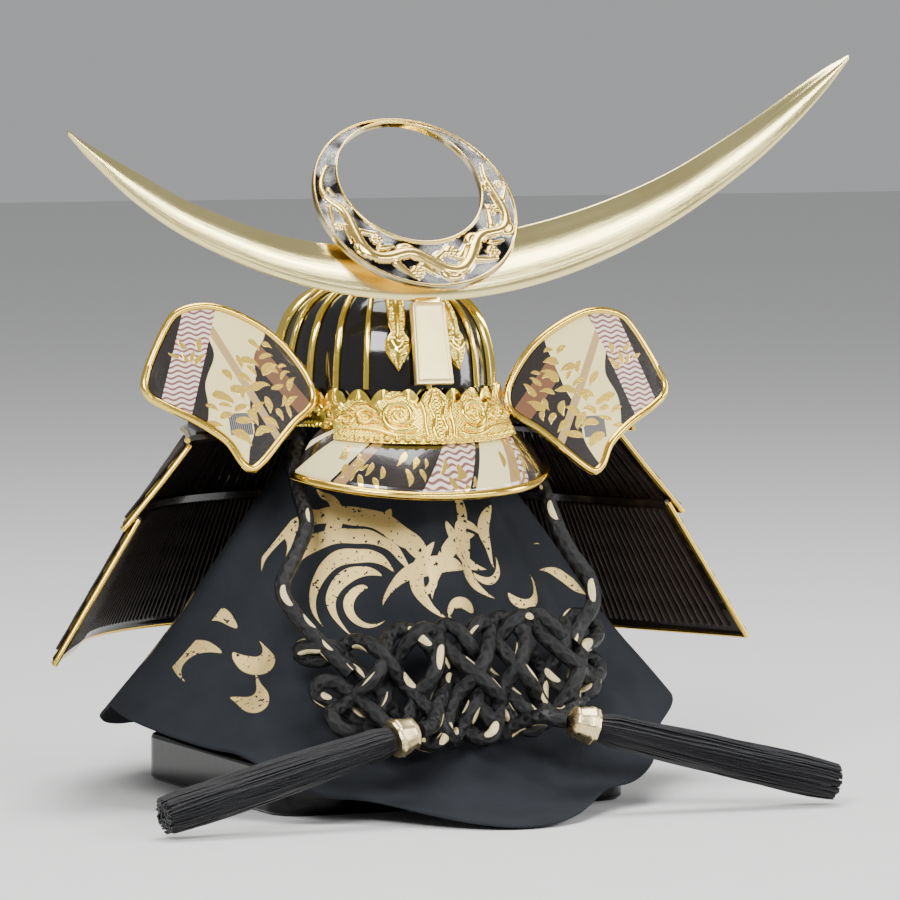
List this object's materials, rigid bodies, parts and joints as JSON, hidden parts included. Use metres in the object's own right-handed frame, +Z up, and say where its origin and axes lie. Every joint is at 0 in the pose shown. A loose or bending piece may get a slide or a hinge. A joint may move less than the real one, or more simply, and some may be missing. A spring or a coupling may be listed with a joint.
{
  "type": "samurai helmet on draped stand",
  "caption": "Miniature display kabuto: ribbed bowl, crescent and ring crest, side plates, tiered neck guard, knotted chin cord, on a cloth-draped stand.",
  "frame": {"origin": "middle of the plinth's flat underside, on the surface it stands on", "axes": "+Z up, the helmet's front faces -Y, +X is the viewer's right"},
  "size_m": [0.2892, 0.2292, 0.2462],
  "materials": {
    "lacquer": "gloss black lacquer",
    "gilt": "polished gold plate",
    "bright_gilt": "bright gold plate on cast relief",
    "champagne": "satin champagne gold plate",
    "holder": "pale satin gold",
    "silver": "polished",
    "printed_leather": "glossy black leather with a gold and silver print",
    "stand": "gloss black lacquer",
    "cloth": "matte charcoal weave with a gold foil print",
    "cord": "black braid flecked with gold thread",
    "cap": "pale gold",
    "tassel": "black rayon strands"
  },
  "bodies": {
    "root": {"bowl": "lacquer", "bowl_ribs": "gilt", "crown_fitting": "gilt", "front_plates": "gilt", "foot_band": "gilt", "visor": "printed_leather", "visor_rim": "gilt", "left_rivet": "silver", "right_rivet": "silver", "front_ornament": "bright_gilt", "crescent": "champagne", "holder": "holder", "ring": "bright_gilt", "left_side_plate": "printed_leather", "left_side_plate_rim": "gilt", "right_side_plate": "printed_leather", "right_side_plate_rim": "gilt", "top_tier": "lacquer", "top_tier_rim": "gilt", "middle_tier": "lacquer", "middle_tier_rim": "gilt", "lower_tier": "lacquer", "lower_tier_rim": "gilt", "stand_plinth": "stand", "stand_post": "stand", "stand_head": "stand", "cloth": "cloth", "cord_knot": "cord", "chin_cord": "cord", "left_tassel_cap": "cap", "left_tassel": "tassel", "right_tassel_cap": "cap", "right_tassel": "tassel"}
  },
  "joints": []
}
